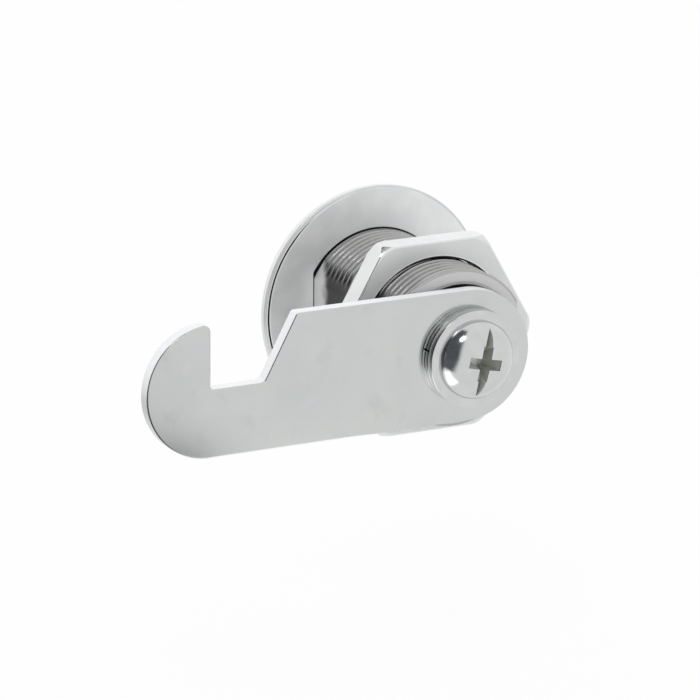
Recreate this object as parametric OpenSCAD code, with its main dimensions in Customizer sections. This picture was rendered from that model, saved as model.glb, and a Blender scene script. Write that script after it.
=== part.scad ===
// Cam lock for a panel, with a hook cam.
// Millimetres. The origin is the centre of the flange's panel seat. +Y runs back along the barrel to the
// cam, the key face looks along -Y, +X runs along the cam and +Z is up, the way the hook's mouth opens.

/* [Housing] */
// Outer diameter of the barrel's thread
barrel_d = 18; // [17.6:0.1:20]
// Distance across the barrel's two flats
barrel_flats = 15.5; // [15.3:0.1:16.5]
// Length of the barrel behind the panel seat
barrel_l = 20; // [18.5:0.5:26]
// Pitch of the barrel's thread
thread_pitch = 1; // [0.8:0.05:1.5]
// Depth of the barrel's thread
thread_depth = 0.55; // [0.3:0.05:0.6]
// Chamfer at the end of the barrel
barrel_chamfer = 0.6; // [0.3:0.1:1]
// Width of the relief groove between the flange and the thread
relief_w = 1.2; // [0.6:0.1:2]
// Depth of that relief groove
relief_depth = 0.7; // [0.4:0.05:0.8]
// Width of the ring groove in the panel seat, outside the thread
seat_groove_w = 0.35; // [0.2:0.05:0.8]
// Depth of that ring groove
seat_groove_depth = 0.4; // [0.2:0.05:0.5]
// Diameter of the housing's flange
flange_d = 27.4; // [26:0.1:34]
// Thickness of the housing's flange
flange_t = 1.85; // [1.7:0.05:3]

/* [Face cap] */
// Thickness of the pressed cap over the flange
cap_t = 0.35; // [0.25:0.05:0.6]
// Radius of the cap's front edge
cap_round = 1.8; // [0.8:0.1:2]
// Height of the lip that is folded in behind the flange
lip_h = 0.35; // [0.2:0.05:0.5]

/* [Plug] */
// Diameter of the plug that turns in the barrel
plug_d = 12; // [11.6:0.1:12.4]
// Diameter of the plug's head at the key face
head_d = 13; // [12.8:0.1:16]
// Thickness of the plug's head
head_t = 1.4; // [1.1:0.1:1.6]
// Distance across the flats of the square tail
tail_flats = 7.2; // [6.8:0.1:7.6]
// Diameter across the rounded corners of the tail
tail_corner_d = 9.2; // [8.6:0.1:9.8]
// How far the tail ends short of the cam's outer face
tail_short = 0.2; // [0.1:0.05:0.5]
// Width of each half of the keyway
key_t = 1.6; // [1.2:0.1:1.8]
// Height of the keyway
key_h = 7.4; // [6.8:0.1:8]
// Sideways step between the two halves of the keyway
key_step = 0.6; // [0.2:0.1:0.8]

/* [Wafers] */
// Thickness of a wafer
wafer_t = 1.1; // [0.8:0.05:1.2]
// Width of a wafer
wafer_w = 6.6; // [6.2:0.1:6.8]
// Distance from one wafer to the next
wafer_pitch = 2.3; // [2.2:0.05:2.4]
// Distance from the panel seat to the first wafer
wafer_first = 2.4; // [2:0.1:2.6]
// How far a wafer springs out into the barrel's groove
wafer_out = 0.9; // [0.6:0.05:0.95]
// Width of the window that the key passes through
window_w = 2.8; // [2.4:0.1:3]
// Height of that window
window_h = 6.2; // [5.6:0.1:6.4]
// Step of height between one cut of the key and the next
code_step = 0.35; // [0.2:0.05:0.4]
// Length of the side ear that the spring pushes on
ear_l = 1.4; // [1.3:0.05:1.45]
// Height of that ear
ear_h = 1.1; // [0.8:0.05:1.2]
// Height of the ear's underside above the wafer's middle
ear_z = 0.9; // [0.8:0.05:1]

/* [Wafer springs] */
// Outer diameter of a wafer spring
spring_d = 1.3; // [1.1:0.05:1.35]
// Diameter of the spring's wire
wire_d = 0.22; // [0.16:0.01:0.24]
// Length of a spring with the wafer drawn in
spring_l = 3; // [2.8:0.05:3.2]
// Turns in a spring
spring_turns = 4; // [3:1:4]

/* [Cam] */
// Width of the cam
cam_w = 15; // [14.8:0.1:18]
// Distance from the turning axis to the centre of the cam's round far end
cam_reach = 31.5; // [28:0.5:45]
// Thickness of the cam
cam_t = 1.6; // [1.2:0.1:2.5]
// Depth of the hook's mouth below the cam's upper edge
mouth_depth = 7.3; // [5:0.1:9]
// Width of the hook's mouth at its floor
mouth_w = 6.4; // [5:0.1:9]
// How far the mouth's sloping side leans out from floor to upper edge
mouth_lean = 3.9; // [0.5:0.1:6]
// Radius of the hook's tip
tip_r = 0.8; // [0.6:0.1:1.8]

/* [Stop washer] */
// Diameter of the stop washer
stop_d = 14; // [13.6:0.1:14.6]
// Thickness of the stop washer
stop_t = 1.1; // [0.8:0.1:1.6]
// How far the washer's tab reaches into the barrel's end
tab_l = 0.8; // [0.6:0.1:1.2]
// Half of the angle that the tab takes up
tab_half = 12; // [8:1:16]
// Angle that the cam turns between its stops
cam_turn = 90; // [45:5:180]

/* [Cam screw] */
// Diameter of the screw's thread
screw_d = 5; // [4.5:0.1:5.2]
// Length of the screw under its flange
screw_l = 7; // [6:0.1:7.2]
// Pitch of the screw's thread
screw_pitch = 0.8; // [0.7:0.05:1]
// Diameter of the flange under the screw's head
screw_flange_d = 11.1; // [10:0.1:13]
// Thickness of that flange
screw_flange_t = 0.9; // [0.6:0.1:1.4]
// Diameter of the screw's pan head
pan_d = 8.9; // [8.4:0.1:9.6]
// Height of the pan head above its flange
pan_h = 1.95; // [1.8:0.05:2.6]
// Radius of the pan head's rounded edge
pan_round = 1.6; // [1:0.1:1.7]
// Width of the driver slot at the top of the pan head
slot_w = 1.3; // [1:0.1:1.6]
// Width of the driver slot at its foot
slot_foot_w = 0.1; // [0.05:0.05:0.3]
// Depth of the driver slot
slot_depth = 0.6; // [0.4:0.05:1]
// Length across the arms of the cross recess
cross_l = 4.1; // [3:0.1:4.6]
// Depth of the cross recess
cross_depth = 2.3; // [2:0.1:2.6]
// Turn of the driver recess from upright
recess_turn = 12; // [0:1:90]

/* [Lock washer] */
// Diameter of the split spring washer
lock_washer_d = 11.4; // [10:0.1:13]
// Thickness of that washer
lock_washer_t = 1; // [0.6:0.1:1.6]
// Width of the split
split_w = 0.5; // [0.3:0.1:1]
// Direction of the split from the cam's length
split_turn = 14; // [0:1:90]

/* [Mounting nut] */
// Distance across the flats of the nut
nut_flats = 22; // [21.6:0.1:26]
// Thickness of the nut
nut_t = 3; // [2:0.1:4]
// Gap between the panel seat and the nut
panel_gap = 11.6; // [2:0.1:13]
// Diameter of the nut's round faces inside its chamfered corners
nut_face_d = 24.2; // [23.6:0.1:24.6]
// Chamfer at both ends of the nut's hole
nut_hole_chamfer = 0.3; // [0.2:0.1:0.8]

/* [Clearances] */
// Gap all round between pieces that turn or slide in each other
running_gap = 0.06; // [0.03:0.01:0.1]
// Gap at the ends of the plug
end_gap = 0.1; // [0.05:0.01:0.2]
// Gap all round between a flat piece and the hole or slot that holds it
plate_gap = 0.1; // [0.05:0.01:0.15]
// Gap all round between the barrel's thread and the nut
nut_gap = 0.12; // [0.05:0.01:0.2]
// Gap between the flange and the cap that is folded round it
cap_gap = 0.02; // [0.01:0.01:0.05]
// Gap all round between a spring and its pocket
pocket_gap = 0.15; // [0.1:0.01:0.18]

/* [Hidden] */
$fn = 96;

// Cuts run past the faces that they open by this much
past = 1;
// Half of a thread's flank angle
flank = 30;

// Places along the barrel, from the key face to the top of the screw
face_y = -flange_t - cap_t;
head_y = face_y + head_t;
shoulder_y = barrel_l + end_gap;
cam_y = shoulder_y + stop_t;
cam_back_y = cam_y + cam_t;
tail_y = cam_back_y - tail_short;
screw_seat_y = cam_back_y + lock_washer_t;
pan_y = screw_seat_y + screw_flange_t;
pan_top_y = pan_y + pan_h;
nut_back_y = panel_gap + nut_t;

// Radii that neighbouring pieces share
barrel_r = barrel_d / 2;
flange_r = flange_d / 2;
cap_r = flange_r + cap_gap + cap_t;
cap_edge_r = min(cap_round, flange_t + cap_t - lip_h);
flange_edge_r = cap_edge_r - cap_t;
plug_r = plug_d / 2;
bore_r = plug_r + running_gap;
head_hole_r = head_d / 2 + plate_gap;
stop_r = stop_d / 2;

// The wafers: each next one is turned half round, so the springs push up and down in turn.
// wafer_code is the depth of the key's cut at each wafer.
wafer_code = [1, -1, 0, 2, -2, 1];
wafer_count = len(wafer_code);
wafer_r = plug_r - plate_gap;
slot_t = wafer_t + 2 * plate_gap;
slot_half_w = wafer_w / 2 + plate_gap;
wafers_end_y = wafer_first + (wafer_count - 1) * wafer_pitch + slot_t / 2;
key_end_y = wafers_end_y + plate_gap;
groove_end_y = wafers_end_y + plate_gap;
groove_r = bore_r + wafer_out + plate_gap;
groove_half_w = slot_half_w + plate_gap;

// The springs: each stands in a pocket beside its wafer, under the wafer's ear
pocket_t = spring_d + 2 * pocket_gap;
spring_x = wafer_w / 2 + plate_gap + spring_d / 2;
pocket_end_x = max(wafer_w / 2 + ear_l + plate_gap, spring_x + spring_d / 2 + pocket_gap);
spring_end_gap = 0.03;
pocket_z = ear_z - spring_l - 2 * spring_end_gap;

// The screw's hole in the plug
screw_end_y = screw_seat_y - screw_l;
screw_hole_y = screw_end_y - 4 * end_gap;
screw_hole_r = screw_d / 2 + running_gap;

// The stop: the tab swings through a recess in the barrel's end, midway between the flats.
// It starts at the recess's end nearer the hook's far side.
tab_r = bore_r + plate_gap;
tab_start = 90 + cam_turn / 2;
recess_r = stop_r + plate_gap;
recess_y = shoulder_y - tab_l - end_gap;
stop_slack = 2;

// A solid of the given profile between two places along the barrel, drawn as seen from the key face
module slab(from_y, to_y) {
    translate([0, to_y, 0]) rotate([90, 0, 0]) linear_extrude(to_y - from_y) children();
}

// A turned solid round the barrel's axis, with its profile drawn as radius and place along the barrel
module turned() {
    rotate([-90, 0, 0]) rotate_extrude() children();
}

// A plain round solid between two places along the barrel
module round_bar(r, from_y, to_y) {
    slab(from_y, to_y) circle(r);
}

// The half outline of a disc with a rounded front edge, from its front to its back at zero
module disc_outline(r, front_y, edge_r) {
    translate([0, front_y]) square([r - edge_r, -front_y]);
    translate([0, front_y + edge_r]) square([r, -front_y - edge_r]);
    translate([r - edge_r, front_y + edge_r]) intersection() {
        circle(edge_r);
        translate([0, -edge_r]) square(edge_r);
    }
}

// The half outline of a threaded bar. The thread's turns are drawn as rings: a crest, then a groove.
module thread_outline(r, from_y, to_y, pitch, depth) {
    crest = pitch - 2 * depth * tan(flank);
    rings = floor((to_y - from_y) / pitch);
    polygon(concat(
        [[0, from_y]],
        [for (i = [0 : rings - 1], p = [[r, 0], [r, crest], [r - depth, (crest + pitch) / 2]])
            [p[0], from_y + i * pitch + p[1]]],
        [[r, from_y + rings * pitch], [r, to_y], [0, to_y]]
    ));
}

// A wedge of the plane between two directions, as far as the radius reaches
module wedge(r, from_a, to_a) {
    far = 2 * r;
    steps = 4;
    polygon(concat(
        [[0, 0]],
        [for (i = [0 : steps]) far * [
            cos(from_a + (to_a - from_a) * i / steps),
            sin(from_a + (to_a - from_a) * i / steps)
        ]]
    ));
}

// The outline of the square tail with its rounded corners, grown by a gap
module tail_outline(gap) {
    intersection() {
        square(tail_flats + 2 * gap, center = true);
        circle(tail_corner_d / 2 + gap);
    }
}

// Puts a wafer's pieces at their place along the plug, every second one turned half round
module at_wafer(i) {
    translate([0, wafer_first + i * wafer_pitch, 0]) rotate([0, 180 * (i % 2), 0]) children();
}

// The die-cast body: flange, threaded barrel with two flats, and the bore with its wafer grooves
module housing() {
    color("silver") difference() {
        union() {
            turned() difference() {
                disc_outline(flange_r, -flange_t, flange_edge_r);
                polygon([
                    [flange_r - lip_h, 0],
                    [flange_r + past, 0],
                    [flange_r + past, -lip_h],
                    [flange_r, -lip_h]
                ]);
                translate([barrel_r - relief_depth, -seat_groove_depth])
                    square([relief_depth + seat_groove_w, seat_groove_depth + past]);
            }
            barrel();
        }
        round_bar(bore_r, -flange_t - past, barrel_l + past);
        round_bar(head_hole_r, -flange_t - past, head_y + end_gap);
        for (a = [0 : 90 : 270])
            rotate([0, a, 0]) wafer_groove();
        slab(recess_y, barrel_l + past) intersection() {
            circle(recess_r);
            wedge(
                recess_r,
                tab_start - cam_turn - tab_half - stop_slack,
                tab_start + tab_half + stop_slack
            );
        }
    }
}

// The threaded barrel with its relief groove, end chamfer and flats
module barrel() {
    thread_end_y = barrel_l - barrel_chamfer;
    intersection() {
        turned() {
            square([barrel_r - relief_depth, barrel_l - barrel_chamfer]);
            thread_outline(barrel_r, relief_w, thread_end_y, thread_pitch, thread_depth);
            polygon([
                [0, thread_end_y],
                [barrel_r, thread_end_y],
                [barrel_r - barrel_chamfer, barrel_l],
                [0, barrel_l]
            ]);
        }
        slab(0, barrel_l) square([barrel_flats, barrel_d + past], center = true);
    }
}

// One of the grooves in the bore that the wafers spring into, open towards the plug's head
module wafer_groove() {
    translate([-groove_half_w, head_y, 0])
        cube([2 * groove_half_w, groove_end_y - head_y, groove_r]);
}

// The bright pressed cap, folded round the flange's edge
module face_cap() {
    lip_end_y = -cap_gap;
    lip_in = lip_h + lip_end_y;
    color("gainsboro") turned() {
        difference() {
            disc_outline(cap_r, face_y, cap_edge_r);
            disc_outline(flange_r + cap_gap, -flange_t, flange_edge_r);
            translate([0, face_y - past]) square([head_hole_r, cap_t + 2 * past]);
            translate([0, -lip_h]) square([cap_r + past, lip_h + past]);
        }
        polygon([
            [flange_r + cap_gap, -lip_h],
            [cap_r, -lip_h],
            [cap_r - lip_in, lip_end_y],
            [flange_r + cap_gap - lip_in, lip_end_y]
        ]);
    }
}

// The plug: head, shank with the keyway, wafer slots and spring pockets, and the square tail
module plug() {
    color("darkkhaki") difference() {
        union() {
            round_bar(head_d / 2, face_y, head_y);
            round_bar(plug_r, head_y, shoulder_y);
            slab(shoulder_y, tail_y) tail_outline(0);
        }
        slab(face_y - past, key_end_y) keyway_outline();
        for (i = [0 : wafer_count - 1])
            at_wafer(i) wafer_slot();
        round_bar(screw_hole_r, screw_hole_y, tail_y + past);
    }
}

// The keyway: an upper and a lower half, stepped sideways
module keyway_outline() {
    for (side = [-1, 1])
        translate([side * key_step / 2, side * key_h / 4])
            square([key_t, key_h / 2 + plate_gap], center = true);
}

// The slot for one wafer, open at both ends, with the pocket for its spring and ear on one side
module wafer_slot() {
    slab(-slot_t / 2, slot_t / 2)
        square([2 * slot_half_w, 2 * plug_r + past], center = true);
    slab(-pocket_t / 2, pocket_t / 2)
        translate([0, pocket_z]) square([pocket_end_x, plug_r + past - pocket_z]);
}

// One brass wafer, with its window at the height that its cut of the key gives
module wafer(i) {
    color("goldenrod") at_wafer(i) slab(-wafer_t / 2, wafer_t / 2) {
        difference() {
            intersection() {
                circle(wafer_r);
                square([wafer_w, 2 * plug_r], center = true);
            }
            translate([0, wafer_code[i] * code_step]) square([window_w, window_h], center = true);
        }
        translate([wafer_w / 2, ear_z]) square([ear_l, ear_h]);
    }
}

// One coil spring, a single tube swept along its helix
ring_steps = 8;
tube_sides = 6;
coil_r = (spring_d - wire_d) / 2;
coil_rise = spring_l - wire_d;
coil_steps = spring_turns * ring_steps;
coil_slope = atan(coil_rise / (2 * PI * coil_r * spring_turns));
function coil_point(s) = [
    coil_r * cos(360 * s / ring_steps),
    coil_r * sin(360 * s / ring_steps),
    coil_rise * s / coil_steps
];
function tube_point(s, side) =
    let (turn = 360 * s / ring_steps, a = 360 * side / tube_sides, wire_r = wire_d / 2)
    coil_point(s)
        + wire_r * cos(a) * [cos(turn), sin(turn), 0]
        + wire_r * sin(a) * [sin(turn) * sin(coil_slope), -cos(turn) * sin(coil_slope), cos(coil_slope)];
coil_gap = min([
    for (s = [0 : coil_steps - ring_steps], t = [s + ring_steps - 1 : coil_steps])
        norm(coil_point(s) - coil_point(t))
]) - wire_d;
echo(coil_gap = coil_gap);

module wafer_spring(i) {
    last = coil_steps * tube_sides;
    color("slategray") at_wafer(i)
        translate([spring_x, 0, pocket_z + spring_end_gap + wire_d / 2])
            polyhedron(
                points = [
                    for (s = [0 : coil_steps], side = [0 : tube_sides - 1]) tube_point(s, side)
                ],
                faces = concat(
                    [for (s = [0 : coil_steps - 1], a = [0 : tube_sides - 1], half = [0, 1])
                        let (b = (a + 1) % tube_sides, low = s * tube_sides, high = low + tube_sides)
                        half == 0 ? [low + a, high + b, low + b] : [low + a, high + a, high + b]],
                    [for (a = [1 : tube_sides - 2]) [0, a, a + 1]],
                    [for (a = [1 : tube_sides - 2]) [last, last + a + 1, last + a]]
                )
            );
}

// The flat washer on the tail, with a tab that stops the turn in the barrel's end
module stop_washer() {
    color("silver") {
        slab(shoulder_y, cam_y) difference() {
            circle(stop_r);
            tail_outline(plate_gap);
        }
        slab(shoulder_y - tab_l, shoulder_y) intersection() {
            difference() {
                circle(stop_r);
                circle(tab_r);
            }
            wedge(stop_r, tab_start - tab_half, tab_start + tab_half);
        }
    }
}

// The flat steel cam with its hook
module cam() {
    color("gainsboro") slab(cam_y, cam_back_y) difference() {
        union() {
            circle(cam_w / 2);
            translate([0, -cam_w / 2]) square([cam_reach, cam_w]);
            translate([cam_reach, 0]) circle(cam_w / 2);
        }
        tail_outline(plate_gap);
        hook_mouth();
        hook_tip_corner();
    }
}

// The hook's mouth, open at the cam's upper edge
module hook_mouth() {
    floor_z = cam_w / 2 - mouth_depth;
    lean_per_depth = mouth_lean / mouth_depth;
    polygon([
        [cam_reach, floor_z],
        [cam_reach, cam_w / 2 + past],
        [cam_reach - mouth_w - mouth_lean - past * lean_per_depth, cam_w / 2 + past],
        [cam_reach - mouth_w, floor_z]
    ]);
}

// What the rounding of the hook's tip takes off, between the mouth's straight side and the round end
module hook_tip_corner() {
    tip_z = sqrt(pow(cam_w / 2 - tip_r, 2) - pow(tip_r, 2));
    tip_end_x = tip_r * (cam_w / 2) / (cam_w / 2 - tip_r);
    translate([cam_reach, 0]) difference() {
        translate([-past, tip_z]) square([tip_end_x + past, cam_w / 2]);
        translate([tip_r, tip_z]) circle(tip_r);
    }
}

// The split spring washer under the screw
module lock_washer() {
    color("gainsboro") slab(cam_back_y, screw_seat_y) difference() {
        circle(lock_washer_d / 2);
        circle(screw_d / 2 + plate_gap);
        rotate(split_turn) translate([0, -split_w / 2]) square([lock_washer_d, split_w]);
    }
}

// The cam screw: pan head with a slot and cross recess, on a flange, with a threaded shank
module cam_screw() {
    screw_depth = screw_pitch * thread_depth / thread_pitch;
    color("gainsboro") difference() {
        union() {
            round_bar(screw_flange_d / 2, screw_seat_y, pan_y);
            pan_head();
            turned() thread_outline(screw_d / 2, screw_end_y, screw_seat_y, screw_pitch, screw_depth);
        }
        rotate([0, -recess_turn, 0]) driver_recess();
    }
}

// The screw's pan head, with its rounded edge
module pan_head() {
    turned() translate([0, pan_y]) mirror([0, 1]) disc_outline(pan_d / 2, -pan_h, pan_round);
}

// The driver recess: a tapered slot that runs out to points at the head's edge, and a deeper cross
module driver_recess() {
    cross_foot_r = slot_w / 2;
    slot_past_w = slot_w + past * (slot_w - slot_foot_w) / slot_depth;
    translate([0, 0, -pan_d / 2]) linear_extrude(pan_d) polygon([
        [-slot_foot_w / 2, pan_top_y - slot_depth],
        [slot_foot_w / 2, pan_top_y - slot_depth],
        [slot_past_w / 2, pan_top_y + past],
        [-slot_past_w / 2, pan_top_y + past]
    ]);
    intersection() {
        slab(pan_top_y - cross_depth, pan_top_y + past) {
            square([slot_w, cross_l], center = true);
            square([cross_l, slot_w], center = true);
        }
        turned() polygon([
            [0, pan_top_y - cross_depth],
            [cross_foot_r, pan_top_y - cross_depth],
            [cross_l / 2, pan_top_y],
            [cross_l / 2, pan_top_y + past],
            [0, pan_top_y + past]
        ]);
    }
}

// The hexagon nut that clamps the panel against the flange, with chamfered corners and hole
module mounting_nut() {
    corner_r = nut_flats / (2 * cos(30));
    hole_r = barrel_r + nut_gap;
    face_r = nut_face_d / 2;
    drop = (corner_r + past - face_r) * tan(flank);
    color("gainsboro") difference() {
        intersection() {
            slab(panel_gap, nut_back_y) circle(corner_r, $fn = 6);
            turned() polygon([
                [0, panel_gap],
                [face_r, panel_gap],
                [corner_r + past, panel_gap + drop],
                [corner_r + past, nut_back_y - drop],
                [face_r, nut_back_y],
                [0, nut_back_y]
            ]);
        }
        turned() polygon([
            [0, panel_gap - past],
            [hole_r + nut_hole_chamfer + past, panel_gap - past],
            [hole_r, panel_gap + nut_hole_chamfer],
            [hole_r, nut_back_y - nut_hole_chamfer],
            [hole_r + nut_hole_chamfer + past, nut_back_y + past],
            [0, nut_back_y + past]
        ]);
    }
}

housing();
face_cap();
plug();
for (i = [0 : wafer_count - 1]) {
    wafer(i);
    wafer_spring(i);
}
stop_washer();
cam();
lock_washer();
cam_screw();
mounting_nut();
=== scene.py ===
"""The looks of a panel cam lock with a hook cam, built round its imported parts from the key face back."""

import math

import bmesh
import bpy
from mathutils import Matrix, Vector


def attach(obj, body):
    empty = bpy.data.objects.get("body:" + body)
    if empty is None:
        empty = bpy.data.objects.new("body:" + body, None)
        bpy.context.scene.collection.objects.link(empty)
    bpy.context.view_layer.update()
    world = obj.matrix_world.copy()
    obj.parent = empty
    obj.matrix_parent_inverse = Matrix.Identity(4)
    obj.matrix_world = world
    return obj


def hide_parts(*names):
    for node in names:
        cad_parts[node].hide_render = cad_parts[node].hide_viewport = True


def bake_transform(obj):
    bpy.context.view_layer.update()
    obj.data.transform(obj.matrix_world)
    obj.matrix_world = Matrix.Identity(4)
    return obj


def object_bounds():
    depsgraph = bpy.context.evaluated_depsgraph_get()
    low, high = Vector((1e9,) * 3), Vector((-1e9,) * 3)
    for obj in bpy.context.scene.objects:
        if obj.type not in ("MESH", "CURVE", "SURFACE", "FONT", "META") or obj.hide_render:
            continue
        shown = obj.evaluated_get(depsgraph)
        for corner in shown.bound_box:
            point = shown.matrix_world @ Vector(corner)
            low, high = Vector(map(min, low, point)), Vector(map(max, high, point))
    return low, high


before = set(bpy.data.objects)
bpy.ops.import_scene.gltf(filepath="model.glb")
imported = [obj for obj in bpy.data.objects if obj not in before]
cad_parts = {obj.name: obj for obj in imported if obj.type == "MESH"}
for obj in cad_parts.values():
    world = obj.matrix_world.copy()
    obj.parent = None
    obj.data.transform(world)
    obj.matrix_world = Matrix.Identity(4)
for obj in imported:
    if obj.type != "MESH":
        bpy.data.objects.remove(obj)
cad_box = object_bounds()


# Housing: one zinc die-casting, plated bright. Its flange lies on the front of the panel, and its
# barrel, threaded and cut to two flats, goes through the panel and carries the nut. The wafers' grooves
# run along the bore, and the stop washer's tab swings in a recess at the barrel's end.
MM = 0.001
MERGE_MM = 1e-4
SLACK_MM = 1e-3
TURN_STEPS = 192


class Link:
    """One output in a node tree. Sums on it add Math nodes, and node() adds any other node to it."""

    def __init__(self, socket):
        self.socket = socket

    def node(self, kind, settings, inputs, output=0):
        """Adds a node: first its settings, then the values or links of its sockets."""
        tree = self.socket.id_data
        added = tree.nodes.new(kind)
        for name, value in settings.items():
            setattr(added, name, value)
        for name, value in inputs.items():
            if isinstance(value, Link):
                tree.links.new(value.socket, added.inputs[name])
            else:
                added.inputs[name].default_value = value
        return Link(added.outputs[output])

    def math(self, operation, first, second):
        """Adds a Math node."""
        return self.node("ShaderNodeMath", {"operation": operation}, {0: first, 1: second})

    def __add__(self, other):
        return self.math("ADD", self, other)

    def __sub__(self, other):
        return self.math("SUBTRACT", self, other)

    def __rsub__(self, other):
        return self.math("SUBTRACT", other, self)

    def __mul__(self, other):
        return self.math("MULTIPLY", self, other)

    def __abs__(self):
        return self.math("ABSOLUTE", self, 0)

    __radd__ = __add__
    __rmul__ = __mul__

    def most(self, other):
        """The larger of this and the other."""
        return self.math("MAXIMUM", self, other)

    def rise(self, low, high):
        """0 below low and 1 above high, with a soft step between."""
        return self.node(
            "ShaderNodeMapRange",
            {"interpolation_type": "SMOOTHSTEP"},
            {"Value": self, "From Min": low, "From Max": high},
        )

    def fall(self, low, high):
        """1 below low and 0 above high, with a soft step between."""
        return 1 - self.rise(low, high)

    def mix(self, colour, other):
        """One colour where this is 0, the other where it is 1."""
        pick = {0: self, 6: colour, 7: other}
        for i in (6, 7):
            if not isinstance(pick[i], Link):
                pick[i] = (*pick[i], 1)
        return self.node("ShaderNodeMix", {"data_type": "RGBA"}, pick, output=2)

    def noise(self, size_mm, detail=2):
        """Cloudy noise at this place in space, with blotches of about the given size."""
        return self.node(
            "ShaderNodeTexNoise",
            {},
            {"Vector": self, "Scale": 1 / (size_mm * MM), "Detail": detail},
        )

    def stretched(self, x, y, z):
        """This place in space with each axis scaled. A pattern stretches along the smaller ones."""
        return self.node("ShaderNodeVectorMath", {"operation": "MULTIPLY"}, {0: self, 1: (x, y, z)})

    def from_axis(self):
        """Distance from the barrel's axis, in millimetres."""
        off_axis = self.stretched(1 / MM, 0, 1 / MM)
        return off_axis.node(
            "ShaderNodeVectorMath", {"operation": "LENGTH"}, {0: off_axis}, output="Value"
        )

    def along(self, axis):
        """Place along X, Y or Z, in millimetres. Y is the barrel's axis."""
        return self.node("ShaderNodeSeparateXYZ", {}, {0: self}, output=axis) * (1 / MM)


def new_metal(name):
    """A bare metal: its material, its shader and its place in space."""
    metal = bpy.data.materials.new(name)
    metal.use_nodes = True
    shader = metal.node_tree.nodes["Principled BSDF"]
    shader.inputs["Metallic"].default_value = 1
    place = Link(metal.node_tree.nodes.new("ShaderNodeTexCoord").outputs["Object"])
    return metal, shader, place


def finish_metal(shader, colour, roughness, relief, depth_mm, strength, metallic=None):
    """Feeds a metal's colour, roughness and fine relief to its shader, and its metallic share where
    that varies."""
    bump = relief.node(
        "ShaderNodeBump", {}, {"Height": relief, "Distance": depth_mm * MM, "Strength": strength}
    )
    feeds = {"Base Color": colour, "Roughness": roughness, "Normal": bump}
    if metallic:
        feeds["Metallic"] = metallic
    for name, value in feeds.items():
        shader.id_data.links.new(value.socket, shader.inputs[name])


def points(parts):
    """The vertices among the parts that an operator gives back."""
    return [part for part in parts if isinstance(part, bmesh.types.BMVert)]


def draw(bm, start, *moves):
    """Draws a closed outline in the X-Y plane, in millimetres. A move is a point, for a line to it, or
    an arc's centre and angle in degrees."""
    arc_step = 4
    first = last = bm.verts.new((*start, 0))
    for x, y, *angle in moves:
        if angle:
            swept = bmesh.ops.spin(
                bm,
                geom=[last],
                cent=(x, y, 0),
                axis=(0, 0, 1),
                angle=math.radians(angle[0]),
                steps=max(2, round(abs(angle[0]) / arc_step)),
            )
            last = points(swept["geom_last"])[0]
        else:
            last = bmesh.ops.extrude_vert_indiv(bm, verts=[last])["verts"][0]
            last.co = (x, y, 0)
    bm.edges.new((last, first))
    bmesh.ops.remove_doubles(bm, verts=bm.verts, dist=MERGE_MM)


def round_corners(bm, radius, *corners):
    """Rounds the outline's corners at these points."""
    at = [v for v in bm.verts if any((v.co.xy - Vector(corner)).length < MERGE_MM for corner in corners)]
    bmesh.ops.bevel(
        bm, geom=at, offset=radius, segments=5, profile=0.5, affect="VERTICES", material=-1
    )


def turn(bm):
    """Turns the outline, with its radius along X, once round the barrel's axis."""
    bmesh.ops.spin(
        bm,
        geom=bm.verts[:] + bm.edges[:],
        cent=(0, 0, 0),
        axis=(0, 1, 0),
        angle=math.tau,
        steps=TURN_STEPS,
        use_merge=True,
    )
    bmesh.ops.remove_doubles(bm, verts=bm.verts, dist=MERGE_MM)


def split_line(bm, radius, from_y, to_y, length):
    """Splits the outline's straight line at this radius into short lengths."""
    low, high = from_y - MERGE_MM, to_y + MERGE_MM
    line = [
        e for e in bm.edges
        if all(abs(v.co.x - radius) < MERGE_MM and low < v.co.y < high for v in e.verts)
    ]
    bmesh.ops.subdivide_edges(bm, edges=line, cuts=round((to_y - from_y) / length) - 1)


def cut_thread(bm, crest_r, depth, pitch, from_y, to_y):
    """Presses a helical groove into a plain turned surface, shallow at both ends."""
    groove_share = 0.66
    for v in bm.verts:
        r = v.co.xz.length
        if abs(r - crest_r) < SLACK_MM and from_y < v.co.y < to_y:
            turns = v.co.y / pitch + math.atan2(v.co.z, v.co.x) / math.tau
            from_groove = abs(2 * (turns % 1) - 1)
            fade = min(1, (v.co.y - from_y) / pitch, (to_y - v.co.y) / pitch)
            dip = depth * fade * max(0, 1 - from_groove / groove_share)
            v.co.xz *= (r - dip) / r


def spread_rim(bm, rim_r):
    """Spreads the seat's rim outwards where the casting is peened over the cap, all round but on the
    hook's side."""
    spread, rim_width, rim_depth, plain_angle, fade_angle = 0.48, 0.15, 0.3, 40, 40
    for v in bm.verts:
        r = v.co.xz.length
        if abs(r - rim_r) < rim_width and v.co.y > -rim_depth:
            off_hook = abs(math.degrees(math.atan2(v.co.z, v.co.x)))
            v.co.xz *= 1 + spread * max(0, min(1, (off_hook - plain_angle) / fade_angle)) / r


def add_object(bm, name):
    """Adds a finished mesh to the scene as an object of its own."""
    mesh = bpy.data.meshes.new(name)
    bm.to_mesh(mesh)
    bm.free()
    added = bpy.data.objects.new(name, mesh)
    bpy.context.scene.collection.objects.link(added)
    return added


def make_piece(bm, name, body, finish, node, sharp_angle=48):
    """Makes a piece of a closed mesh in millimetres: it rides on a body, if one is given, and stands
    for a CAD node."""
    bmesh.ops.remove_doubles(bm, verts=bm.verts, dist=MERGE_MM)
    bmesh.ops.recalc_face_normals(bm, faces=bm.faces)
    for edge in bm.edges:
        edge.smooth = edge.calc_face_angle(0) < math.radians(sharp_angle)
    for face in bm.faces:
        face.smooth = True
    bmesh.ops.scale(bm, vec=(MM, MM, MM), verts=bm.verts)
    piece = add_object(bm, name)
    piece.data.materials.append(finish)
    piece.modifiers.new("even_shading", "WEIGHTED_NORMAL").keep_sharp = True
    if body:
        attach(piece, body)
    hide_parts(node)
    return piece


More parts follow.
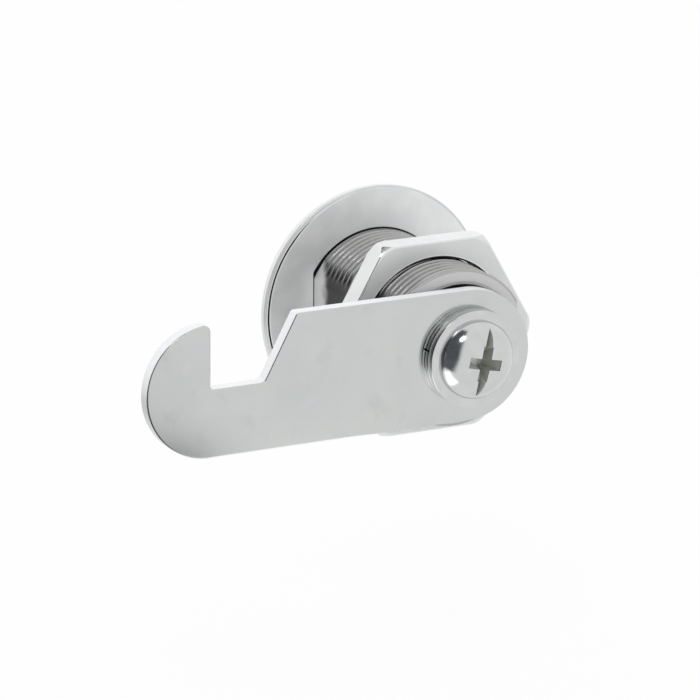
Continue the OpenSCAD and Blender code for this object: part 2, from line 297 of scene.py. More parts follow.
flange_r, flange_t, flange_round = 13.7, 1.85, 1.45
barrel_r, barrel_l, half_flats = 9, 20, 7.75
bore_r, head_hole_r, head_seat_y = 6.06, 6.6, -0.7
seat_edge, seat_round, seat_groove_r, seat_groove_y, groove_round = 0.35, 0.12, 9.15, -0.6, 0.05
foot_r, foot_y, flat_groove = 8.7, 0.02, 0.25
thread_from, thread_to, thread_depth, thread_pitch, thread_cuts = 0.25, 19.5, 0.55, 1, 14
bare_from_z, bare_to_z, bare_r, bare_from_y = 6.2, 4.6, 8.65, 0.1
end_r, end_hole_r = 7.85, 7.75
groove_z, groove_half_w, groove_to = 7.06, 3.5, 15.1
recess_r, recess_y, recess_edge, recess_half_angle = 7.45, 19.1, 0.05, 59
# Twin rings this far apart become the steps at the head's seat, the grooves' ends and the recess.
twin_gap = 0.01

bm = bmesh.new()
draw(
    bm,
    (bore_r, head_seat_y + twin_gap),
    (bore_r, head_seat_y),
    (head_hole_r, head_seat_y),
    (head_hole_r, -flange_t),
    (flange_r, -flange_t),
    (flange_r, -seat_edge),
    (flange_r - seat_edge, 0),
    (seat_groove_r, 0),
    (seat_groove_r, seat_groove_y),
    (foot_r, seat_groove_y),
    (foot_r, foot_y),
    (barrel_r, thread_from),
    (barrel_r, thread_to),
    (end_r, barrel_l),
    (end_hole_r, barrel_l),
    (recess_r, barrel_l),
    (recess_r - twin_gap, barrel_l),
    (bore_r, barrel_l),
    (bore_r, groove_to + twin_gap),
    (bore_r, groove_to),
)
split_line(bm, barrel_r, thread_from, thread_to, thread_pitch / thread_cuts)
round_corners(bm, flange_round, (flange_r, -flange_t))
round_corners(bm, seat_round, (flange_r - seat_edge, 0))
round_corners(bm, groove_round, (seat_groove_r, 0))
turn(bm)
spread_rim(bm, flange_r - seat_edge)
cut_thread(bm, barrel_r, thread_depth, thread_pitch, thread_from, thread_to)
for v in bm.verts:
    r = v.co.xz.length
    angle = math.atan2(v.co.z, v.co.x)
    near_barrel = foot_r - thread_depth < r < seat_groove_r + groove_round + twin_gap
    if near_barrel and v.co.y > seat_groove_y - twin_gap:
        bare = max(0, min(1, (bare_from_z - abs(v.co.z)) / (bare_from_z - bare_to_z)))
        if bare_from_y < v.co.y < thread_to:
            v.co.xz *= 1 + bare * (bare_r / r - 1)
        past_foot = flat_groove * max(0, r - foot_r) if v.co.y < twin_gap else 0
        if abs(v.co.x) > half_flats + past_foot:
            v.co.x = math.copysign(half_flats + past_foot, v.co.x)
            v.co.y = max(flat_groove * seat_groove_y, v.co.y)
    if v.co.y > barrel_l - twin_gap and r < recess_r + twin_gap / 2:
        if abs(angle - math.pi / 2) < math.radians(recess_half_angle):
            v.co.y = recess_y if r < recess_r - twin_gap / 2 else barrel_l - recess_edge
    if abs(r - bore_r) < SLACK_MM and v.co.y < groove_to + twin_gap / 2:
        off_groove = (angle + math.pi / 4) % (math.pi / 2) - math.pi / 4
        side_r = groove_half_w / max(1e-6, abs(math.sin(off_groove)))
        wall_r = min(groove_z / math.cos(off_groove), side_r)
        most_r = head_hole_r - twin_gap if v.co.y < head_seat_y + twin_gap / 2 else wall_r
        v.co.xz *= max(bore_r, min(wall_r, most_r)) / r

zinc, shader, place = new_metal("plated_zinc_casting")
outward, along, height = place.from_axis(), place.along("Y"), abs(place.along("Z"))
clouds = place.noise(3.5, 3)
grain = place.noise(0.16, 4)
pits = place.noise(0.5).rise(0.66, 0.74)
on_barrel = along.rise(0.05, 0.1)
# Painted shade: the narrow groove in the seat round the barrel is coloured nearly black.
groove_painted_shade = along.fall(-0.12, -0.02) * outward.fall(seat_groove_r - 0.05, seat_groove_r + 0.01)
# Painted shade: the thread roots, and the barrel's surfaces nearer the axis than them, are coloured nearly
# black.
root_with_painted_shade = on_barrel * outward.fall(barrel_r - 0.4, barrel_r - 0.02)
root_with_painted_shade = root_with_painted_shade * along.fall(thread_to - 0.3, thread_to - 0.15)
# Painted light: a lighter, less metallic patch on the barrel beside the seat, round the flats.
foot_painted_light = on_barrel * (along + 2.5 * clouds).fall(3.4, 5) * height.fall(5.6, 6.6)
foot_painted_light = foot_painted_light * (along + 1.4 * height).fall(7.6, 9.4)
# The barrel's end face is rougher and less metallic, and it also has painted light: its colour is lighter
# than the barrel's.
on_end = along.rise(barrel_l - 0.45, barrel_l - 0.35) * outward.fall(barrel_r - 0.3, barrel_r - 0.25)
in_light = foot_painted_light.most(on_end)
seat_tone = clouds.rise(0.35, 0.7).mix((0.83, 0.85, 0.855), (0.9, 0.91, 0.9))
barrel_tone = root_with_painted_shade.mix((0.425, 0.42, 0.418), (0.075, 0.073, 0.07))
barrel_tone = in_light.mix(barrel_tone, on_end.mix((0.7, 0.7, 0.695), (0.58, 0.58, 0.585)))
finish_metal(
    shader,
    groove_painted_shade.mix(on_barrel.mix(seat_tone, barrel_tone), (0.05, 0.05, 0.05)),
    0.38 + 0.08 * grain + 0.06 * clouds - 0.22 * on_barrel + 0.12 * root_with_painted_shade + 0.2 * in_light,
    grain - 0.6 * pits,
    depth_mm=0.02,
    strength=0.1 + 0.3 * on_barrel,
    metallic=0.52 + 0.48 * on_barrel - 0.75 * in_light,
)
make_piece(bm, "housing_casting", "lock_body", zinc, "housing")


# Face cap: thin sheet, pressed to a dish and plated like a mirror. It covers the flange's front,
# and its rim is rolled over the flange's edge, which leaves a fine seam on the seat's side.
cap_r, cap_front, sheet_t, lip_r, lip_y = 14.06, -2.2, 0.35, 13.38, -0.01
cap_round, cap_hole_round, fold_round, lip_round = 1.8, 0.1, 0.2, 0.05

bm = bmesh.new()
draw(
    bm,
    (head_hole_r, cap_front),
    (cap_r, cap_front),
    (cap_r, lip_y),
    (lip_r, lip_y),
    (cap_r - sheet_t, -sheet_t),
    (cap_r - sheet_t, cap_front + sheet_t),
    (head_hole_r, cap_front + sheet_t),
)
round_corners(bm, cap_round, (cap_r, cap_front))
round_corners(bm, flange_round, (cap_r - sheet_t, cap_front + sheet_t))
round_corners(bm, fold_round, (cap_r, lip_y))
round_corners(bm, lip_round, (lip_r, lip_y))
round_corners(bm, cap_hole_round, (head_hole_r, cap_front))
turn(bm)
spread_rim(bm, lip_r)

mirror, shader, place = new_metal("bright_plated_sheet")
outward, along = place.from_axis(), place.along("Y")
haze = place.noise(6, 3)
peel = place.noise(0.9)
hairlines = place.stretched(1, 1, 0.04).noise(0.05, 1).rise(0.6, 0.8)
at_rim = outward.rise(cap_r - 0.56, cap_r - 0.36) * along.rise(-1.4, -1)
# Painted shade: the lip's face beside the seam is coloured nearly black, for the shade in the gap.
seam_painted_shade = outward.fall(lip_r + 0.18, lip_r + 0.22) * along.rise(-0.2, -0.15)
# Painted highlight: a thin ring on the lip's edge next to the seam is near white and less metallic.
lip_painted_highlight = outward.rise(lip_r + 0.22, lip_r + 0.24) * outward.fall(lip_r + 0.36, lip_r + 0.4)
lip_painted_highlight = lip_painted_highlight * along.rise(-0.12, -0.08)
tone = haze.rise(0.3, 0.7).mix((0.68, 0.69, 0.695), (0.75, 0.755, 0.76))
finish_metal(
    shader,
    seam_painted_shade.mix(lip_painted_highlight.mix(tone, (0.98, 0.98, 0.98)), (0.02, 0.02, 0.02)),
    0.06 + 0.08 * haze + 0.05 * hairlines + 0.2 * at_rim,
    peel - 0.3 * hairlines,
    depth_mm=0.02,
    strength=0.08,
    metallic=1 - 0.58 * at_rim - 0.3 * lip_painted_highlight,
)
make_piece(bm, "face_cap_shell", "lock_body", mirror, "face_cap")


# Plug: turned brass, plated, with its head flush with the face cap. The key goes into its stepped
# keyway, and its square tail carries the stop washer and the cam at the back.
def copy_of(node):
    """A copy of a CAD node in millimetres, with its loose triangles merged."""
    bm = bmesh.new()
    bm.from_mesh(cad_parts[node].data)
    bmesh.ops.scale(bm, vec=(1 / MM, 1 / MM, 1 / MM), verts=bm.verts)
    bmesh.ops.remove_doubles(bm, verts=bm.verts, dist=MERGE_MM)
    return bm


def join_flats(bm):
    """Joins up the triangles of flat faces."""
    bmesh.ops.dissolve_limit(bm, angle_limit=math.radians(0.5), verts=bm.verts, edges=bm.edges)


def round_edges(bm, edges, radius, segments, clamp=True):
    """Rounds these edges of a solid, and keeps neighbouring roundings apart if they are clamped."""
    bmesh.ops.bevel(
        bm,
        geom=edges,
        offset=radius,
        segments=segments,
        profile=0.5,
        affect="EDGES",
        clamp_overlap=clamp,
        material=-1,
    )


def soften(node, radius):
    """A copy of a CAD node in millimetres, with its flat faces joined up and its edges rounded."""
    bm = copy_of(node)
    join_flats(bm)
    edges = [e for e in bm.edges if e.is_manifold and e.calc_face_angle(0) > math.radians(40)]
    round_edges(bm, edges, radius, segments=2)
    return bm


def lathe_rings(place, scale, wobble):
    """Fine rings round the barrel's axis."""
    return place.node(
        "ShaderNodeTexWave",
        {"wave_type": "RINGS", "rings_direction": "Y"},
        {"Vector": place, "Scale": scale, "Distortion": wobble, "Detail": 2},
        output="Fac",
    )


plug_edge = 0.06
nickel, shader, place = new_metal("plated_turned_brass")
rings = lathe_rings(place, 2600, 1.5)
wear = place.noise(2.5, 4)
finish_metal(
    shader,
    wear.rise(0.62, 0.78).mix((0.64, 0.63, 0.6), (0.66, 0.56, 0.36)),
    0.16 + 0.1 * rings + 0.12 * wear,
    rings + 0.4 * wear,
    depth_mm=0.01,
    strength=0.2,
)
make_piece(soften("plug", plug_edge), "plug_turned", "plug_and_cam", nickel, "plug")


# Wafers: six bare brass stampings that slide across the plug. The key lifts each by its own amount
# until all six are inside the plug's round.
wafer_numbers = range(1, 7)
brass, shader, place = new_metal("stamped_brass")
rolled = place.stretched(1, 1, 0.08).noise(0.12, 3)
tarnish = place.noise(1.6, 4)
finish_metal(
    shader,
    tarnish.rise(0.4, 0.75).mix((0.8, 0.61, 0.29), (0.56, 0.38, 0.16)),
    0.2 + 0.16 * rolled + 0.12 * tarnish,
    rolled,
    depth_mm=0.008,
    strength=0.25,
)
for i in wafer_numbers:
    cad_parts[f"wafer_{i}"].material_slots[0].material = brass


# Wafer springs: coils of drawn steel wire in the plug's side pockets. Each stands on its pocket's end
# and pushes one wafer's ear outwards, up or down in turn.
wire, shader, place = new_metal("drawn_spring_wire")
drawn = place.stretched(1, 1, 4).noise(0.06, 2)
oil = place.noise(0.7)
finish_metal(
    shader,
    oil.mix((0.36, 0.365, 0.38), (0.52, 0.525, 0.53)),
    0.24 + 0.14 * drawn,
    drawn,
    depth_mm=0.004,
    strength=0.2,
)
for i in wafer_numbers:
    node = f"wafer_spring_{i}"
    coil = make_piece(copy_of(node), f"{node}_coil", None, wire, node, sharp_angle=80)
    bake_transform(coil)


# Stop washer: stamped steel, plated, on the plug's square tail. Its tab reaches into the barrel's end
# and meets the ends of the recess there a quarter turn apart.
stop_edge = 0.08
stamped, shader, place = new_metal("plated_stamped_steel")
clouds = place.noise(2.8, 3)
lines = place.stretched(0.06, 1, 1).noise(0.1, 2)
finish_metal(
    shader,
    clouds.rise(0.3, 0.7).mix((0.52, 0.53, 0.535), (0.6, 0.61, 0.605)),
    0.22 + 0.1 * lines + 0.08 * clouds,
    lines,
    depth_mm=0.01,
    strength=0.15,
)
bm = soften("stop_washer", stop_edge)
make_piece(bm, "stop_washer_stamped", "plug_and_cam", stamped, "stop_washer")


# Cam: flat steel plate, stamped out, so that its rear edge is drawn round, and plated with bright zinc.
# The square hole sits on the plug's tail, and the hook at the far end swings behind the striker.
def pull(bm, faces, by):
    """Pulls flat faces out into a solid."""
    pulled = bmesh.ops.extrude_face_region(bm, geom=faces)["geom"]
    bmesh.ops.translate(bm, verts=points(pulled), vec=by)


cam_r, cam_reach, cam_front, cam_back = 7.5, 31.5, 21.2, 22.8
mouth_w, mouth_lean, mouth_floor, mouth_round, tip_r = 6.4, 3.9, 0.2, 0.35, 0.8
shoulder_x, shoulder_round = cam_reach - mouth_w - mouth_lean, 0.25
rear_edge, front_edge = 0.16, 0.06
hole_half, hole_corner_r, hole_steps = 3.7, 4.7, 5
tip_angle = math.degrees(math.acos(tip_r / (cam_r - tip_r)))
tip_z = math.sqrt((cam_r - tip_r) ** 2 - tip_r**2)
hole_z = math.sqrt(hole_corner_r**2 - hole_half**2)
hole_angle = math.acos(hole_half / hole_corner_r) * 2 - math.pi / 2

bm = bmesh.new()
draw(
    bm,
    (0, -cam_r),
    (cam_reach, -cam_r),
    (cam_reach, 0, 90 + tip_angle),
    (cam_reach + tip_r, tip_z, 180 - tip_angle),
    (cam_reach, mouth_floor),
    (cam_reach - mouth_w, mouth_floor),
    (shoulder_x, cam_r),
    (0, cam_r),
    (0, 0, 180),
)
round_corners(bm, mouth_round, (cam_reach, mouth_floor), (cam_reach - mouth_w, mouth_floor))
round_corners(bm, shoulder_round, (shoulder_x, cam_r))
for quarter in range(4):
    spun = Matrix.Rotation(quarter * math.pi / 2, 2)
    corner = bm.verts.new((*(spun @ Vector((hole_half, -hole_z))), 0))
    end = bmesh.ops.extrude_vert_indiv(bm, verts=[corner])["verts"][0]
    end.co = (*(spun @ Vector((hole_half, hole_z))), 0)
    bmesh.ops.spin(
        bm, geom=[end], cent=(0, 0, 0), axis=(0, 0, 1), angle=-hole_angle, steps=hole_steps
    )
bmesh.ops.remove_doubles(bm, verts=bm.verts, dist=SLACK_MM)
bmesh.ops.triangle_fill(bm, edges=bm.edges[:], use_beauty=True, normal=(0, 0, 1))
bmesh.ops.rotate(bm, verts=bm.verts, matrix=Matrix.Rotation(math.pi / 2, 3, "X"))
bmesh.ops.translate(bm, verts=bm.verts, vec=(0, cam_front, 0))
pull(bm, bm.faces[:], (0, cam_back - cam_front, 0))
bmesh.ops.recalc_face_normals(bm, faces=bm.faces)
for side_y, edge_round in ((cam_back, rear_edge), (cam_front, front_edge)):
    at_side = [e for e in bm.edges if all(abs(v.co.y - side_y) < SLACK_MM for v in e.verts)]
    rim = [e for e in at_side if e.calc_face_angle(0) > math.radians(60)]
    round_edges(bm, rim, edge_round, segments=3, clamp=False)
join_flats(bm)

sheet, shader, place = new_metal("bright_zinc_sheet")
along = place.along("Y")
clouds = place.noise(9, 4)
mottle = place.noise(1.6, 3)
rolled = place.stretched(0.02, 1, 1).noise(0.12, 2)
stains = place.noise(3.2, 5).rise(0.56, 0.74)
burnished = place.from_axis().fall(cam_r - 1.1, cam_r + 1.5)
# Painted highlight: the cut edge round the plate is coloured light and made less metallic.
edge_with_painted_highlight = along.rise(cam_front + 0.06, cam_front + 0.1) * along.fall(cam_back - 0.18, cam_back - 0.1)
tone = clouds.rise(0.3, 0.7).mix((0.565, 0.585, 0.572), (0.605, 0.618, 0.606))
tone = mottle.rise(0.4, 0.8).mix(tone, (0.59, 0.6, 0.612))
tone = (0.5 * stains).mix(tone, (0.54, 0.555, 0.535))
finish_metal(
    shader,
    edge_with_painted_highlight.mix(tone, (0.86, 0.865, 0.88)),
    0.16 + 0.07 * clouds + 0.05 * rolled + 0.06 * stains - 0.1 * burnished + 0.24 * edge_with_painted_highlight,
    rolled + 0.5 * mottle,
    depth_mm=0.01,
    strength=0.06,
    metallic=1 - 0.55 * edge_with_painted_highlight,
)
make_piece(bm, "cam_plate", "plug_and_cam", sheet, "cam")


# Lock washer: a ring of spring steel, plated, with a narrow split on the hook's side. The screw squeezes
# it flat against the cam, and its spring keeps the screw tight.
washer_in, washer_out, washer_top, washer_back = 2.6, 5.58, 5.52, 23.5
washer_foot_round, washer_top_round, washer_hole_round = 0.2, 0.12, 0.15
split_half_angle, split_at, washer_steps = math.radians(1.1), math.radians(14), 120

bm = bmesh.new()
draw(
    bm,
    (washer_in, cam_back),
    (washer_out, cam_back),
    (washer_top, washer_back),
    (washer_in, washer_back),
)
round_corners(bm, washer_foot_round, (washer_out, cam_back))
round_corners(bm, washer_top_round, (washer_top, washer_back))
round_corners(bm, washer_hole_round, (washer_in, cam_back), (washer_in, washer_back))
bmesh.ops.rotate(bm, verts=bm.verts, matrix=Matrix.Rotation(-(split_at + split_half_angle), 3, "Y"))
ring_start = bm.edges[:]
ring_end = bmesh.ops.spin(
    bm,
    geom=bm.verts[:] + ring_start,
    cent=(0, 0, 0),
    axis=(0, -1, 0),
    angle=math.tau - 2 * split_half_angle,
    steps=washer_steps,
)["geom_last"]
bmesh.ops.contextual_create(bm, geom=ring_start)
bmesh.ops.contextual_create(bm, geom=[e for e in ring_end if isinstance(e, bmesh.types.BMEdge)])

spring_steel, shader, place = new_metal("plated_spring_steel")
clouds = place.noise(1.8, 3)
drawn = place.node("ShaderNodeTexNoise", {"noise_dimensions": "1D"}, {"W": 14 * place.along("Y")})
# Painted light: the lower half of the washer is coloured much lighter than the upper half.
lower_painted_light = place.along("Z").fall(-2, 0)
tone = clouds.rise(0.35, 0.7).mix((0.42, 0.435, 0.44), (0.52, 0.53, 0.53))
finish_metal(
    shader,
    lower_painted_light.mix(tone, (0.85, 0.86, 0.86)),
    0.14 + 0.08 * clouds + 0.06 * drawn,
    drawn + 0.4 * clouds,
    depth_mm=0.012,
    strength=0.06,
)
make_piece(bm, "lock_washer_split", "plug_and_cam", spring_steel, "lock_washer")


# Cam screw: cold-headed steel, nickel-plated, with a pan head on a round flange. A tapered slot and
# a cross share the driver recess. Its shank holds the cam to the plug's tail.
def carve(piece, tool):
    """Takes a closed shape out of a piece and throws the shape away."""
    carving = piece.modifiers.new("carving", "BOOLEAN")
    carving.operation = "DIFFERENCE"
    carving.solver = "EXACT"
    carving.object = tool
    carved = bpy.data.meshes.new_from_object(piece.evaluated_get(bpy.context.evaluated_depsgraph_get()))
    piece.modifiers.remove(carving)
    piece.data = carved
    bpy.data.objects.remove(tool)


def make_tool(bm, name):
    """A shape in millimetres to carve with, turned as the driver recess is in the head."""
    bmesh.ops.recalc_face_normals(bm, faces=bm.faces)
    bmesh.ops.rotate(bm, verts=bm.verts, matrix=Matrix.Rotation(-math.radians(recess_turn), 3, "Y"))
    bmesh.ops.scale(bm, vec=(MM, MM, MM), verts=bm.verts)
    return add_object(bm, name)


def along_line(place, degrees):
    """Place along a line across the barrel's axis, turned from X towards Z, in millimetres."""
    line = (math.cos(math.radians(degrees)) / MM, 0, math.sin(math.radians(degrees)) / MM)
    return place.node(
        "ShaderNodeVectorMath", {"operation": "DOT_PRODUCT"}, {0: place, 1: line}, output="Value"
    )


screw_flange_r, screw_flange_top, screw_flange_y, screw_flange_round = 5.56, 5.52, 24.32, 0.1
shank_r, shank_end, shank_point, shank_neck = 2.5, 16.8, 0.5, 0.5
screw_depth, screw_pitch, screw_cuts = 0.44, 0.8, 10
head_top, crown_r, crown_angle, edge_r, edge_angle, head_r = 26.65, 22, 5, 2.98, 68, 4.43
recess_turn, recess_reach = 12, 3.9
edge_from = math.radians(crown_angle)
edge_x = (crown_r - edge_r) * math.sin(edge_from)
edge_y = head_top - crown_r + (crown_r - edge_r) * math.cos(edge_from)

bm = bmesh.new()
draw(
    bm,
    (0, head_top),
    (0, head_top - crown_r, -crown_angle),
    (edge_x, edge_y, crown_angle - edge_angle),
    (head_r, screw_flange_y),
    (screw_flange_top, screw_flange_y),
    (screw_flange_r, washer_back),
    (shank_r, washer_back),
    (shank_r, shank_end + shank_point),
    (shank_r - shank_point, shank_end),
    (0, shank_end),
)
on_axis = [e for e in bm.edges if all(abs(v.co.x) < MERGE_MM for v in e.verts)]
bmesh.ops.delete(bm, geom=on_axis, context="EDGES")
split_line(bm, shank_r, shank_end + shank_point, washer_back, screw_pitch / screw_cuts)
round_corners(
    bm, screw_flange_round, (screw_flange_top, screw_flange_y), (screw_flange_r, washer_back)
)
turn(bm)
cut_thread(bm, shank_r, screw_depth, screw_pitch, shank_end + shank_point, washer_back - shank_neck)

nickel_screw, shader, place = new_metal("nickel_plated_screw")
outward, along = place.from_axis(), place.along("Y")
clouds = place.noise(2.2, 3)
specks = place.noise(0.22, 2).rise(0.68, 0.76)
past_crown = (outward - edge_x).most(0)
bowed = past_crown * past_crown * (0.5 / edge_r)
top_drop = outward * outward * (0.5 / crown_r) + bowed + bowed * bowed * (0.5 / edge_r)
in_recess = (along + top_drop).fall(head_top - 0.2, head_top - 0.06)
in_recess = in_recess * outward.fall(recess_reach, recess_reach + 0.05)
in_slot = in_recess * outward.rise(2, 2.2)
# Painted light: one wall of the driver recess is coloured lighter than the rest.
wall_painted_light = in_recess * along_line(place, recess_turn).rise(-0.22, 0)
# Painted light: the lower half of the flange's rim is coloured lighter.
lower_rim_painted_light = outward.rise(screw_flange_r - 0.16, screw_flange_r - 0.06) * place.along("Z").fall(-2, 0)
lower_rim_painted_light = lower_rim_painted_light * along.fall(screw_flange_y - 0.08, screw_flange_y - 0.02)
tone = clouds.rise(0.3, 0.7).mix((0.575, 0.58, 0.585), (0.625, 0.63, 0.63))
tone = lower_rim_painted_light.mix(tone, (0.85, 0.86, 0.86))
# Painted shade: the driver recess is coloured darker than the head, and its slot darker still.
tone = in_slot.mix(in_recess.mix(tone, (0.44, 0.45, 0.41)), (0.4, 0.415, 0.39))
finish_metal(
    shader,
    (0.7 * wall_painted_light).mix(tone, (0.72, 0.73, 0.72)),
    0.13 + 0.05 * clouds + 0.15 * specks + 0.2 * in_recess,
    clouds - specks,
    depth_mm=0.008,
    strength=0.12,
    metallic=1 - 0.5 * in_recess,
)
screw = make_piece(bm, "cam_screw_headed", "plug_and_cam", nickel_screw, "cam_screw")

slot_foot_y, slot_foot_x, slot_left, slot_right = head_top - 1.1, -0.2, 1.1, -0.85
slot_top_y = head_top + 1
bm = bmesh.new()
draw(bm, (slot_foot_x, slot_foot_y), (slot_left, slot_top_y), (slot_right, slot_top_y))
end = bmesh.ops.contextual_create(bm, geom=bm.edges[:])["faces"]
bmesh.ops.translate(bm, verts=bm.verts, vec=(0, 0, -head_r))
pull(bm, end, (0, 0, 2 * head_r))
carve(screw, make_tool(bm, "slot_tool"))

cross_foot_y, cross_top_y, cross_foot, cross_top = head_top - 2.3, head_top + 0.1, 0.7, 2.1
arm_foot_half, arm_top_half = 0.4, 0.62
for across in (0, math.pi / 2):
    bm = bmesh.new()
    foot = bmesh.ops.create_grid(bm, x_segments=1, y_segments=1, size=1)["verts"]
    bmesh.ops.scale(bm, vec=(cross_foot, arm_foot_half, 1), verts=foot)
    top = bmesh.ops.create_grid(bm, x_segments=1, y_segments=1, size=1)["verts"]
    bmesh.ops.scale(bm, vec=(cross_top, arm_top_half, 1), verts=top)
    bmesh.ops.translate(bm, vec=(0, 0, cross_top_y - cross_foot_y), verts=top)
    bmesh.ops.bridge_loops(bm, edges=bm.edges[:])
    bmesh.ops.rotate(bm, verts=bm.verts, matrix=Matrix.Rotation(across, 3, "Z"))
    bmesh.ops.rotate(bm, verts=bm.verts, matrix=Matrix.Rotation(-math.pi / 2, 3, "X"))
    bmesh.ops.translate(bm, vec=(0, cross_foot_y, 0), verts=bm.verts)
    carve(screw, make_tool(bm, "cross_tool"))


# Mounting nut: hexagon steel, turned flat and chamfered on both faces, plated with bright zinc. It
# clamps the panel against the flange.
nut_front, nut_back, half_nut_flats, nut_edge = 11.6, 14.6, 11, 0.18
front_face_r, front_slope = 12, math.tan(math.radians(48))
back_face_r, back_slope = 12.1, math.tan(math.radians(52))
nut_corner_r = half_nut_flats / math.cos(math.pi / 6)
nut_hole_r, nut_hole_chamfer = 9.12, 0.2
nut_mid = (nut_front + nut_back) / 2

bm = bmesh.new()
draw(
    bm,
    (nut_hole_r, nut_front + nut_hole_chamfer),
    (nut_hole_r + nut_hole_chamfer, nut_front),
    (front_face_r, nut_front),
    (nut_corner_r, nut_front + (nut_corner_r - front_face_r) * front_slope),
    (nut_corner_r, nut_back - (nut_corner_r - back_face_r) * back_slope),
    (back_face_r, nut_back),
    (nut_hole_r + nut_hole_chamfer, nut_back),
    (nut_hole_r, nut_back - nut_hole_chamfer),
)
turn(bm)
for v in bm.verts:
    r = v.co.xz.length
    off_flat = math.atan2(v.co.z, v.co.x) % (math.pi / 3) - math.pi / 6
    flat_r = min(r, half_nut_flats / math.cos(off_flat))
    v.co.xz *= flat_r / r
    if r > nut_corner_r - SLACK_MM:
        if v.co.y < nut_mid:
            v.co.y = nut_front + max(0, flat_r - front_face_r) * front_slope
        else:
            v.co.y = nut_back - max(0, flat_r - back_face_r) * back_slope
bmesh.ops.remove_doubles(bm, verts=bm.verts, dist=MERGE_MM)
bmesh.ops.recalc_face_normals(bm, faces=bm.faces)
edges = [
    e for e in bm.edges
    if e.calc_face_angle(0) > math.radians(50) and e.verts[0].co.xz.length > half_nut_flats - 1
]
round_edges(bm, edges, nut_edge, segments=3)

nut_zinc, shader, place = new_metal("bright_zinc_nut")
outward, along = place.from_axis(), place.along("Y")
rings = lathe_rings(place, 1500, 2)
clouds = place.noise(5, 4)
scuffs = place.stretched(1, 1, 0.4).noise(0.8, 4).rise(0.62, 0.72)
# Painted shade: the hole's bore and chamfer are coloured nearly black.
past_hole = (outward - nut_hole_r).rise(0.18, 0.22)
# Painted highlight: a near-white, less metallic ring on the face round the hole.
hole_ring_painted_highlight = past_hole * (outward - nut_hole_r).fall(0.3, 0.4)
past_face = outward - back_face_r
at_corner = past_face.rise(0.03, 0.06)
at_corner = at_corner * (along + back_slope * past_face).rise(nut_back - 0.12, nut_back - 0.06)
# Painted highlight: a thin near-white ring where the back face meets its chamfer, seen at the corners.
corner_ring_painted_highlight = past_face.rise(-0.16, -0.12) * past_face.fall(0, 0.02)
corner_ring_painted_highlight = corner_ring_painted_highlight * along.rise(nut_back - 0.02, nut_back - 0.01)
# Both rings of painted highlight, near white and less metallic.
bright = hole_ring_painted_highlight.most(corner_ring_painted_highlight)
to_flat = abs(along_line(place, 30)).most(abs(along_line(place, 90))).most(abs(along_line(place, 150)))
at_edge = to_flat.rise(half_nut_flats - nut_edge - 0.01, half_nut_flats - nut_edge)
at_edge = at_edge * along.rise(nut_back - nut_edge - 0.01, nut_back - nut_edge)
tone = clouds.rise(0.3, 0.7).mix((0.72, 0.735, 0.74), (0.78, 0.79, 0.78))
tone = bright.mix(tone, (0.92, 0.92, 0.92))
finish_metal(
    shader,
    past_hole.mix((0.08, 0.08, 0.08), tone),
    0.26 + 0.05 * rings + 0.06 * clouds + 0.1 * scuffs - 0.14 * at_corner - 0.2 * at_edge,
    0.4 * rings + clouds,
    depth_mm=0.008,
    strength=0.12,
    metallic=0.25 - 0.1 * bright + 0.7 * at_corner.most(at_edge),
)
make_piece(bm, "mounting_nut_hexagon", "nut", nut_zinc, "mounting_nut", sharp_angle=31)


# Floor: a wide sheet of white paper, below the hook's lowest reach. The camera and the metal see it as
# white, and it keeps the lock's shadow.
def seen_as_white(nodes):
    """1 for the rays that show the background, straight or in metal and glass, and 0 for the rest."""
    path = nodes.new("ShaderNodeLightPath")
    rays = ("Is Camera Ray", "Is Glossy Ray", "Is Transmission Ray")
    seen = [Link(path.outputs[ray]) for ray in rays]
    return seen[0].math("MINIMUM", seen[0] + seen[1] + seen[2], 1)


floor_z, floor_half_m, floor_white = -(cam_reach + cam_r + 0.5) * MM, 4, 0.88
bm = bmesh.new()
bmesh.ops.create_grid(bm, x_segments=1, y_segments=1, size=floor_half_m)
bmesh.ops.translate(bm, vec=(0, 0, floor_z), verts=bm.verts)
floor = add_object(bm, "floor_paper")

paper = bpy.data.materials.new("white_paper")
paper.use_nodes = True
nodes = paper.node_tree.nodes
nodes["Principled BSDF"].inputs["Base Color"].default_value = (0.95, 0.95, 0.95, 1)
nodes["Principled BSDF"].inputs["Roughness"].default_value = 0.9
seen = seen_as_white(nodes)
matt = Link(nodes["Principled BSDF"].outputs[0])
white = seen.node("ShaderNodeEmission", {}, {"Color": (1, 1, 1, 1), "Strength": 1})
lit = seen.node("ShaderNodeMixShader", {}, {0: floor_white * seen, 1: matt, 2: white})
paper.node_tree.links.new(lit.socket, nodes["Material Output"].inputs["Surface"])
floor.data.materials.append(paper)


# Studio: an even white room, three soft boxes, and a dark screen round the camera's left side that
# gives the plating its dark lines.
world = bpy.data.worlds.new("white_room")
bpy.context.scene.world = world
world.use_nodes = True
nodes = world.node_tree.nodes
seen = seen_as_white(nodes)
plain = seen.node("ShaderNodeBackground", {}, {"Color": (1, 1, 1, 1), "Strength": 0.9})
white = seen.node("ShaderNodeBackground", {}, {"Color": (1, 1, 1, 1), "Strength": 1})
room = seen.node("ShaderNodeMixShader", {}, {0: seen, 1: plain, 2: white})
world.node_tree.links.new(room.socket, nodes["World Output"].inputs["Surface"])


def soft_box(name, shape, place, facing, width, depth, power, colour=(1, 1, 1)):
    """A lamp of the given size in metres that shines from one place towards another."""
    lamp = bpy.data.lights.new(name, "AREA")
    lamp.shape = shape
    lamp.size = width
    lamp.size_y = depth
    lamp.energy = power
    lamp.color = colour
    box = bpy.data.objects.new(name, lamp)
    box.location = place
    box.rotation_euler = (Vector(facing) - Vector(place)).to_track_quat("-Z", "Y").to_euler()
    box.visible_camera = False
    bpy.context.scene.collection.objects.link(box)


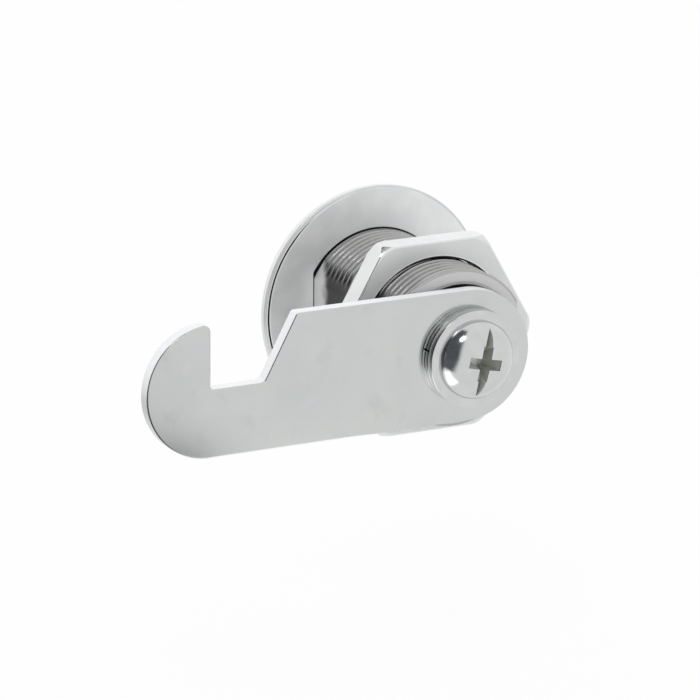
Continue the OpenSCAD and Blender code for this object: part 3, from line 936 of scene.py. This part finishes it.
soft_box(
    "back_box",
    "RECTANGLE",
    place=(0, -1.4, 0.5),
    facing=(0, 0, 0),
    width=2.2,
    depth=1.3,
    power=2.7,
    colour=(0.94, 0.95, 1),
)
soft_box(
    "top_box", "DISK", place=(0.336, 0.401, 0.67), facing=(0, 0, 0), width=0.24, depth=0.24, power=0.6
)
soft_box(
    "low_box",
    "RECTANGLE",
    place=(0.019, 0.027, -0.0139),
    facing=(0.019, 0.027, 0),
    width=0.02,
    depth=0.012,
    power=0.0006,
)

screen_r, screen_near, screen_wall = 1, 0.045, 0.35
screen_foot = cad_box[0].z + 0.0004
screen_from, dark_from, dark_to, screen_to = (math.radians(angle) for angle in (20, 40, 108, 120))
roof_angle, roof_steps, screen_steps = math.radians(75), 12, 28
bm = bmesh.new()
rim = bm.verts.new((0, screen_near, screen_foot))
wall = bmesh.ops.extrude_vert_indiv(bm, verts=[rim])["verts"][0]
wall.co.y = screen_r
top = bmesh.ops.extrude_vert_indiv(bm, verts=[wall])["verts"][0]
top.co.z = screen_wall
bmesh.ops.spin(
    bm, geom=[top], cent=(0, 0, screen_wall), axis=(1, 0, 0), angle=roof_angle, steps=roof_steps
)
bmesh.ops.remove_doubles(bm, verts=bm.verts, dist=1e-5)
bmesh.ops.rotate(bm, verts=bm.verts, matrix=Matrix.Rotation(-screen_from, 3, "Z"))
bmesh.ops.spin(
    bm,
    geom=bm.verts[:] + bm.edges[:],
    cent=(0, 0, 0),
    axis=(0, 0, -1),
    angle=screen_to - screen_from,
    steps=screen_steps,
)
screen = add_object(bm, "dark_screen")
for ray in ("camera", "diffuse", "shadow"):
    setattr(screen, f"visible_{ray}", False)

felt = bpy.data.materials.new("dark_felt")
felt.use_nodes = True
nodes = felt.node_tree.nodes
nodes["Principled BSDF"].inputs["Base Color"].default_value = (0.1, 0.112, 0.12, 1)
nodes["Principled BSDF"].inputs["Roughness"].default_value = 1
place = Link(nodes.new("ShaderNodeTexCoord").outputs["Object"])
bearing = place.math("ARCTAN2", place.along("X"), place.along("Y"))
cover = bearing.rise(screen_from, dark_from) * bearing.fall(dark_to, screen_to)
cloth = Link(nodes["Principled BSDF"].outputs[0])
air = place.node("ShaderNodeBsdfTransparent", {}, {})
soft = place.node("ShaderNodeMixShader", {}, {0: cover, 1: air, 2: cloth})
felt.node_tree.links.new(soft.socket, nodes["Material Output"].inputs["Surface"])
screen.data.materials.append(felt)
bpy.context.scene.view_settings.view_transform = "Standard"


# Camera: behind the panel's place, above the hook and to its side. It stands half a metre off, with a
# long lens.
look = bpy.data.cameras.new("camera")
look.sensor_width = 36
look.lens = 222.99
distance, aside, below = 0.49784, 0.0027975, 0.005248
azimuth, elevation, roll = (math.radians(angle) for angle in (152.844, 16.576, 0.484))
back = Vector((
    math.sin(azimuth) * math.cos(elevation),
    -math.cos(azimuth) * math.cos(elevation),
    math.sin(elevation),
))
level = Vector((math.cos(azimuth), math.sin(azimuth), 0))
right = math.cos(roll) * level + math.sin(roll) * back.cross(level)
upward = back.cross(right)
camera = bpy.data.objects.new("camera", look)
camera.matrix_world = Matrix((right, upward, back)).transposed().to_4x4()
camera.location = distance * back - aside * right - below * upward
bpy.context.scene.collection.objects.link(camera)
bpy.context.scene.camera = camera
